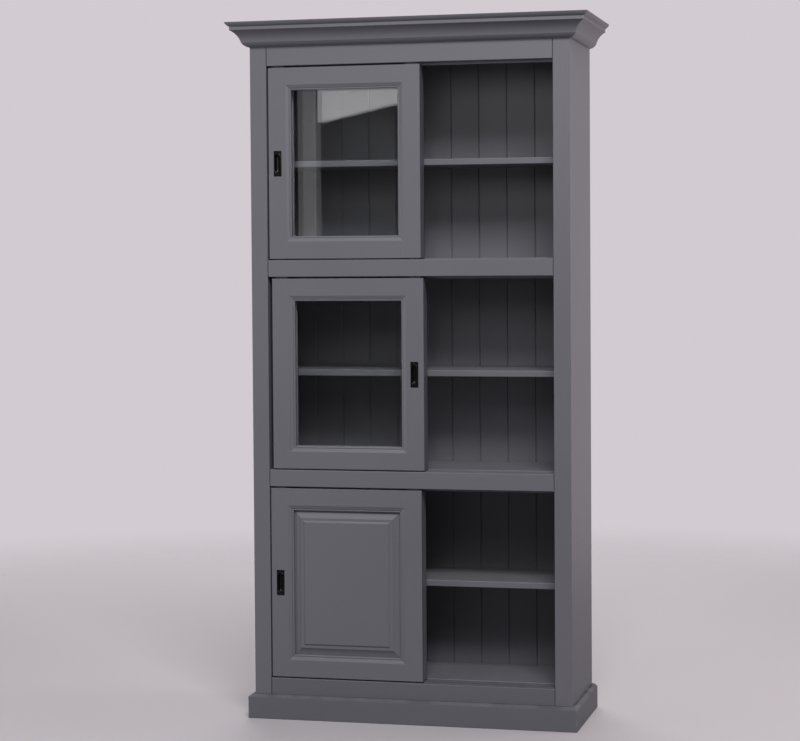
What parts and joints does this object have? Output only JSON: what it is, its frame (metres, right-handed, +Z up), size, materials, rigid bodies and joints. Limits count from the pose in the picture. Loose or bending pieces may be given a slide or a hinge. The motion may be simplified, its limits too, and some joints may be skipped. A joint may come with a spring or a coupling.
{
  "type": "sliding-door display cupboard",
  "caption": "Tall painted cupboard in stacked tiers with glazed and panelled sliding doors, shelves, boarded back, cornice and plinth, for storing and showing crockery.",
  "frame": {"origin": "on the floor, under the middle of the bounding box", "axes": "+X to the right seen from the front, +Y to the back, +Z up; the doors face -Y"},
  "size_m": [1.1472, 0.4486, 2.2],
  "materials": {
    "grey_paint": "satin slate-grey paint on pine",
    "glass": "clear float glass",
    "black_metal": "semi-matt black",
    "nylon": "natural nylon",
    "steel": "zinc-plated"
  },
  "bodies": {
    "carcass": {"front_post_left": "grey_paint", "front_post_right": "grey_paint", "side_panel_left": "grey_paint", "side_panel_right": "grey_paint", "bottom_rail": "grey_paint", "lower_middle_rail": "grey_paint", "upper_middle_rail": "grey_paint", "top_rail": "grey_paint", "bottom_deck": "grey_paint", "lower_deck": "grey_paint", "upper_deck": "grey_paint", "top_board": "grey_paint", "bottom_shelf": "grey_paint", "middle_shelf": "grey_paint", "top_shelf": "grey_paint", "shelf_bearers": "grey_paint", "back_boards": "grey_paint", "cornice_front": "grey_paint", "cornice_left": "grey_paint", "cornice_right": "grey_paint", "plinth_front": "grey_paint", "plinth_left": "grey_paint", "plinth_right": "grey_paint", "parting_strips": "grey_paint"},
    "bottom_front_door": {"bottom_front_door_stiles": "grey_paint", "bottom_front_door_rails": "grey_paint", "bottom_front_door_pull": "black_metal", "bottom_front_door_guides": "nylon", "bottom_front_door_panel": "grey_paint"},
    "bottom_rear_door": {"bottom_rear_door_stiles": "grey_paint", "bottom_rear_door_rails": "grey_paint", "bottom_rear_door_pull": "black_metal", "bottom_rear_door_guides": "nylon", "bottom_rear_door_panel": "grey_paint"},
    "middle_front_door": {"middle_front_door_stiles": "grey_paint", "middle_front_door_rails": "grey_paint", "middle_front_door_pull": "black_metal", "middle_front_door_guides": "nylon", "middle_front_door_glass": "glass", "middle_front_door_beads": "grey_paint"},
    "middle_rear_door": {"middle_rear_door_stiles": "grey_paint", "middle_rear_door_rails": "grey_paint", "middle_rear_door_pull": "black_metal", "middle_rear_door_guides": "nylon", "middle_rear_door_glass": "glass", "middle_rear_door_beads": "grey_paint"},
    "top_front_door": {"top_front_door_stiles": "grey_paint", "top_front_door_rails": "grey_paint", "top_front_door_pull": "black_metal", "top_front_door_guides": "nylon", "top_front_door_glass": "glass", "top_front_door_beads": "grey_paint"},
    "top_rear_door": {"top_rear_door_stiles": "grey_paint", "top_rear_door_rails": "grey_paint", "top_rear_door_pull": "black_metal", "top_rear_door_guides": "nylon", "top_rear_door_glass": "glass", "top_rear_door_beads": "grey_paint"}
  },
  "joints": [
    {"name": "bottom_front_slide", "type": "slide", "parent": "carcass", "child": "bottom_front_door", "axis": [1, 0, 0], "range_m": [-0.002, 0.42]},
    {"name": "bottom_rear_slide", "type": "slide", "parent": "carcass", "child": "bottom_rear_door", "axis": [1, 0, 0], "range_m": [-0.0005, 0.4215]},
    {"name": "middle_front_slide", "type": "slide", "parent": "carcass", "child": "middle_front_door", "axis": [1, 0, 0], "range_m": [-0.0118, 0.4102]},
    {"name": "middle_rear_slide", "type": "slide", "parent": "carcass", "child": "middle_rear_door", "axis": [1, 0, 0], "range_m": [-0.0079, 0.4141]},
    {"name": "top_front_slide", "type": "slide", "parent": "carcass", "child": "top_front_door", "axis": [1, 0, 0], "range_m": [-0.0041, 0.4179]},
    {"name": "top_rear_slide", "type": "slide", "parent": "carcass", "child": "top_rear_door", "axis": [1, 0, 0], "range_m": [-0.0011, 0.4209]}
  ]
}
